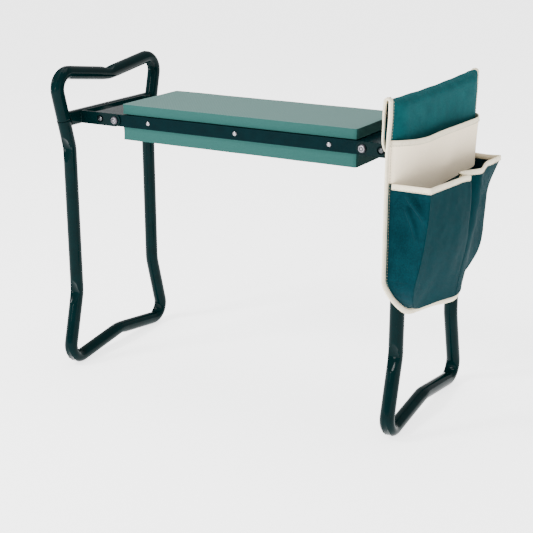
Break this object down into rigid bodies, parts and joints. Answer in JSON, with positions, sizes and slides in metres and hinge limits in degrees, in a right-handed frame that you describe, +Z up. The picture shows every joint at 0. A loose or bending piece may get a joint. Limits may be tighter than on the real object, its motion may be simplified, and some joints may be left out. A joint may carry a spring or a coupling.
{
  "type": "folding garden kneeler seat",
  "caption": "Folding garden kneeler and seat: padded deck between two bent-tube leg frames with waisted sides, lock buttons and a pocketed tool bag saddled over one handle.",
  "frame": {"origin": "on the floor, below the middle of the seat between the two leg frames", "axes": "+X along the seat toward the leg frame with the bag, +Y from the front rail to the back rail, +Z up"},
  "size_m": [0.652, 0.332, 0.4967],
  "materials": {
    "frame_paint": "gloss",
    "plated_steel": "bright",
    "pad_foam": "matt",
    "green_canvas": "matt",
    "cream_canvas": "matt"
  },
  "bodies": {
    "seat": {"front_rail": "frame_paint", "back_rail": "frame_paint", "deck_pan": "frame_paint", "top_pad": "pad_foam", "bottom_pad": "pad_foam", "rivet_front_left": "plated_steel", "rivet_front_middle": "plated_steel", "rivet_front_right": "plated_steel", "rivet_back_left": "plated_steel", "rivet_back_middle": "plated_steel", "rivet_back_right": "plated_steel", "pivot_bolt_front_left": "plated_steel", "pivot_bolt_front_right": "plated_steel", "pivot_bolt_back_left": "plated_steel", "pivot_bolt_back_right": "plated_steel", "pivot_nut_front_left": "plated_steel", "pivot_nut_front_right": "plated_steel", "pivot_nut_back_left": "plated_steel", "pivot_nut_back_right": "plated_steel", "button_spring_front_left": "plated_steel", "button_spring_front_right": "plated_steel", "button_spring_back_left": "plated_steel", "button_spring_back_right": "plated_steel"},
    "left_leg": {"left_leg_tube": "frame_paint", "left_handle_tube": "frame_paint", "left_cross_member": "frame_paint", "left_bracket": "frame_paint"},
    "right_leg": {"right_leg_tube": "frame_paint", "right_handle_tube": "frame_paint", "right_cross_member": "frame_paint", "right_bracket": "frame_paint", "bag_panel": "green_canvas", "bag_panel_binding": "cream_canvas", "bag_mid_pocket": "cream_canvas", "bag_mid_pocket_binding": "cream_canvas", "bag_pocket_gusset": "green_canvas", "bag_pocket_front": "green_canvas", "bag_pocket_binding": "cream_canvas"},
    "button_front_left": {"lock_button_front_left": "plated_steel"},
    "button_front_right": {"lock_button_front_right": "plated_steel"},
    "button_back_left": {"lock_button_back_left": "plated_steel"},
    "button_back_right": {"lock_button_back_right": "plated_steel"}
  },
  "joints": [
    {"name": "left_leg_fold", "type": "hinge", "parent": "seat", "child": "left_leg", "pos_m": [-0.213, 0, 0.41], "axis": [0, -1, 0], "range_deg": [0, 93], "deforming": ["lock_button_front_left", "lock_button_back_left"]},
    {"name": "right_leg_fold", "type": "hinge", "parent": "seat", "child": "right_leg", "pos_m": [0.213, 0, 0.41], "axis": [0, 1, 0], "range_deg": [0, 86.5], "deforming": ["lock_button_front_right", "lock_button_back_right"]},
    {"name": "front_left_button_press", "type": "slide", "parent": "seat", "child": "button_front_left", "axis": [0, 1, 0], "range_m": [0, 0.0034], "stiffness_N_per_m": 900, "springref_m": -0.002, "deforming": ["button_spring_front_left"]},
    {"name": "front_right_button_press", "type": "slide", "parent": "seat", "child": "button_front_right", "axis": [0, 1, 0], "range_m": [0, 0.0034], "stiffness_N_per_m": 900, "springref_m": -0.002, "deforming": ["button_spring_front_right"]},
    {"name": "back_left_button_press", "type": "slide", "parent": "seat", "child": "button_back_left", "axis": [0, -1, 0], "range_m": [0, 0.0034], "stiffness_N_per_m": 900, "springref_m": -0.002, "deforming": ["button_spring_back_left"]},
    {"name": "back_right_button_press", "type": "slide", "parent": "seat", "child": "button_back_right", "axis": [0, -1, 0], "range_m": [0, 0.0034], "stiffness_N_per_m": 900, "springref_m": -0.002, "deforming": ["button_spring_back_right"]}
  ]
}
